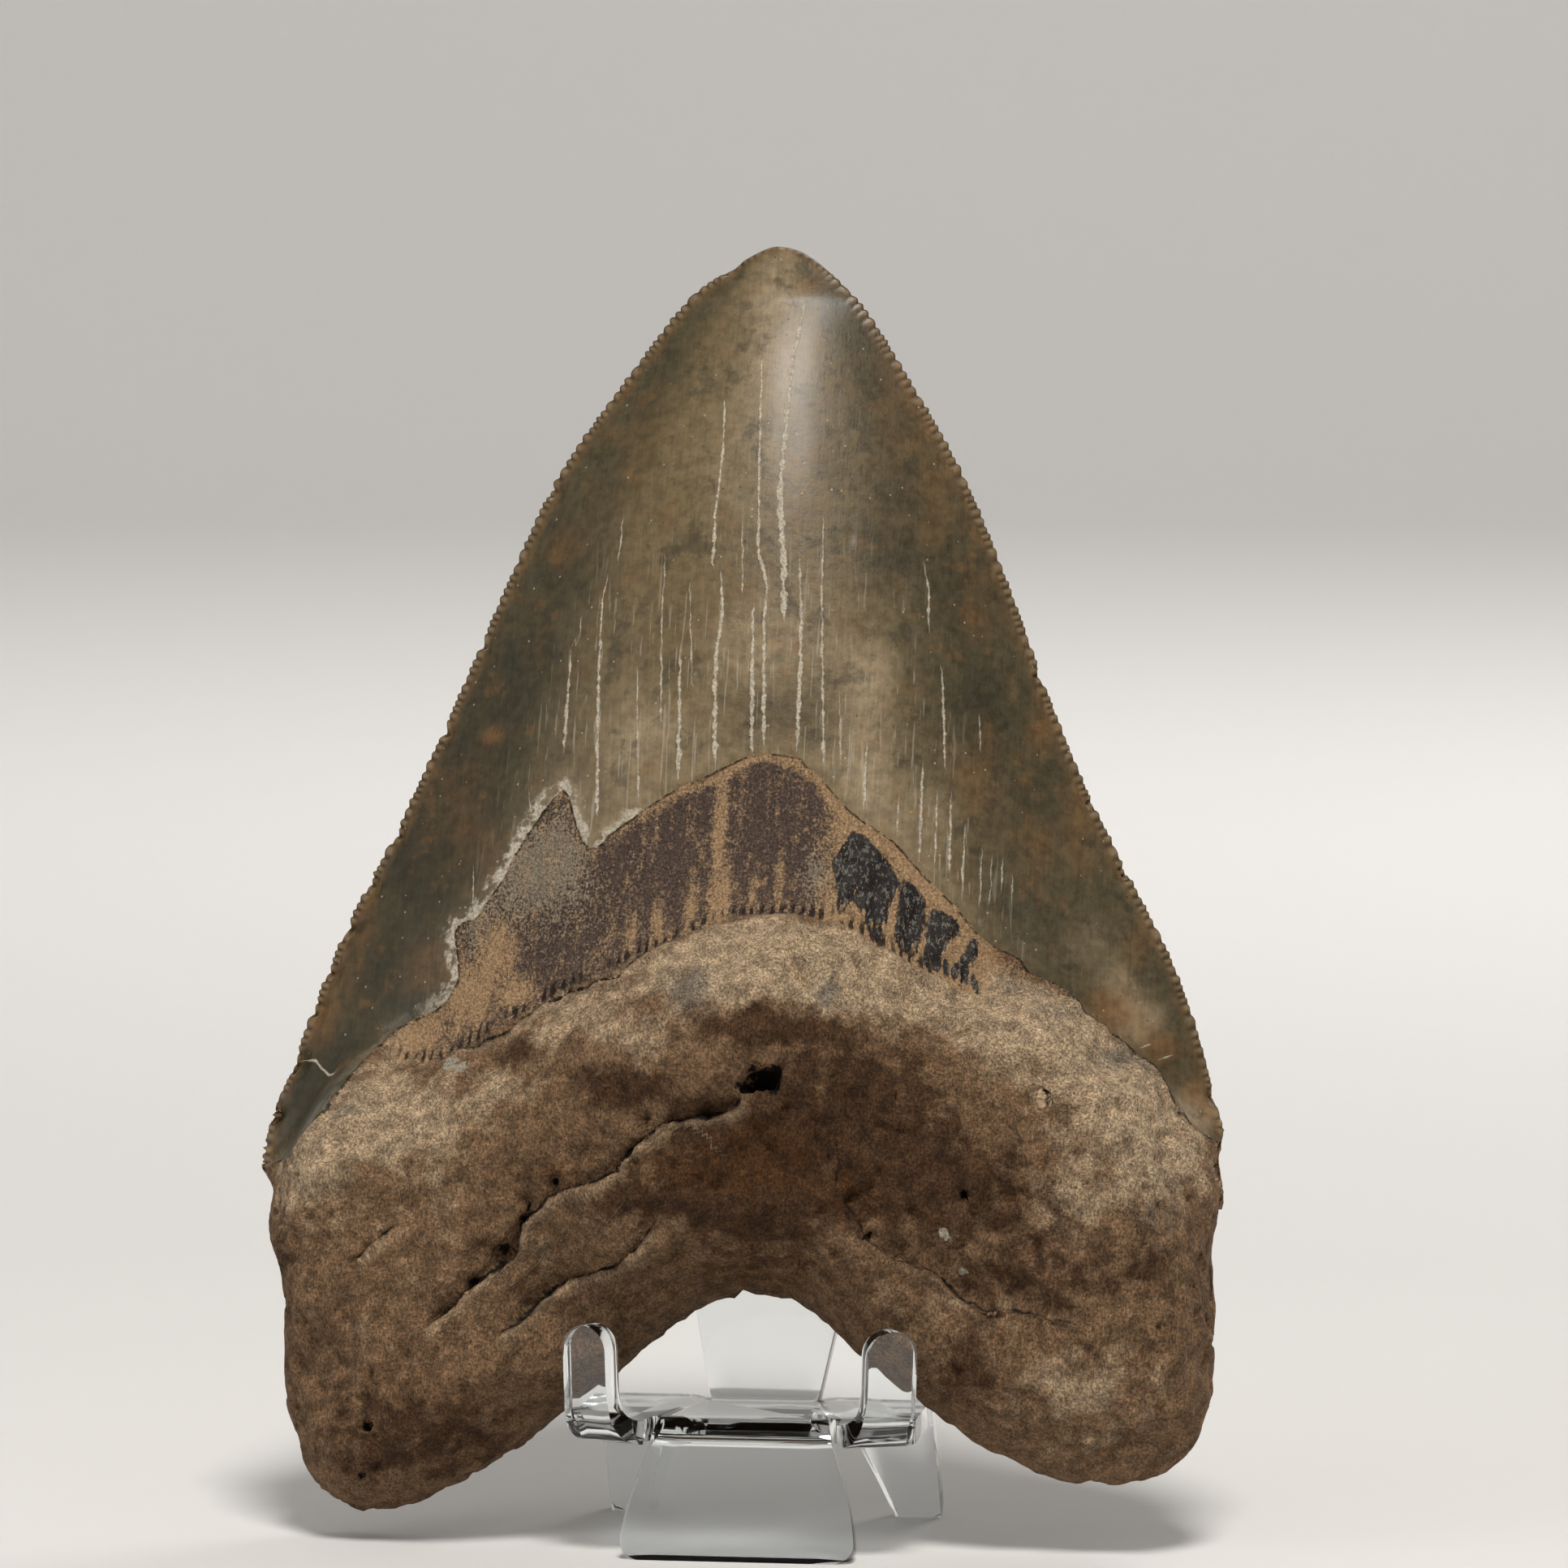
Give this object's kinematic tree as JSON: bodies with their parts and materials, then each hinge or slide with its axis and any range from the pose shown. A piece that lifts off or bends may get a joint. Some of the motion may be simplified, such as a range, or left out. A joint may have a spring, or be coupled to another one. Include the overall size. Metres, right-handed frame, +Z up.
{
  "type": "megalodon tooth on a stand",
  "caption": "Large triangular fossil shark tooth with a serrated crown and a forked root, leaning upright on a clear stand bent from one sheet.",
  "frame": {"origin": "on the table under the middle of the object's outer box", "axes": "+Z up, from the stand's feet to the tooth's tip; -Y is the front, where the tongue side of the tooth with its dark band and the stand's front foot are; +X to the right seen from the front"},
  "size_m": [0.0962, 0.0476, 0.1257],
  "materials": {
    "fossil": "satin olive-brown enamel, matt tan and brown root",
    "clear_plastic": "clear, polished"
  },
  "bodies": {
    "root": {"tooth": "fossil", "stand": "clear_plastic"}
  },
  "joints": []
}
